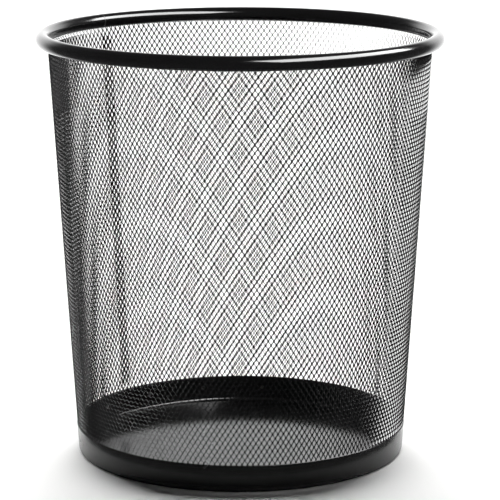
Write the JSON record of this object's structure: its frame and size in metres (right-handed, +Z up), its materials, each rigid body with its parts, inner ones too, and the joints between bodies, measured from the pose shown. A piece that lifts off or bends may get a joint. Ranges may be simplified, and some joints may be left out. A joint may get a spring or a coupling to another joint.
{
  "type": "wastebasket",
  "caption": "Round tapered wastebasket of black expanded steel mesh, with a rolled tube rim and a solid pressed base held in an outer band.",
  "frame": {"origin": "middle of the base, on the surface that the basket stands on", "axes": "+Z up along the basket's axis; the lapped mesh seam is 138 degrees round from +X towards +Y, at the back left when seen from -Y"},
  "size_m": [0.296, 0.296, 0.311],
  "materials": {
    "rim": "gloss black powder coat",
    "mesh": "semi-gloss black powder coat",
    "base": "semi-gloss black powder coat"
  },
  "bodies": {
    "root": {"rim_tube": "rim", "rim_joint_weld": "rim", "mesh_wall": "mesh", "seam_welds": "mesh", "base_pan": "base", "base_band": "base", "band_joint_weld": "base", "base_welds": "base"}
  },
  "joints": []
}
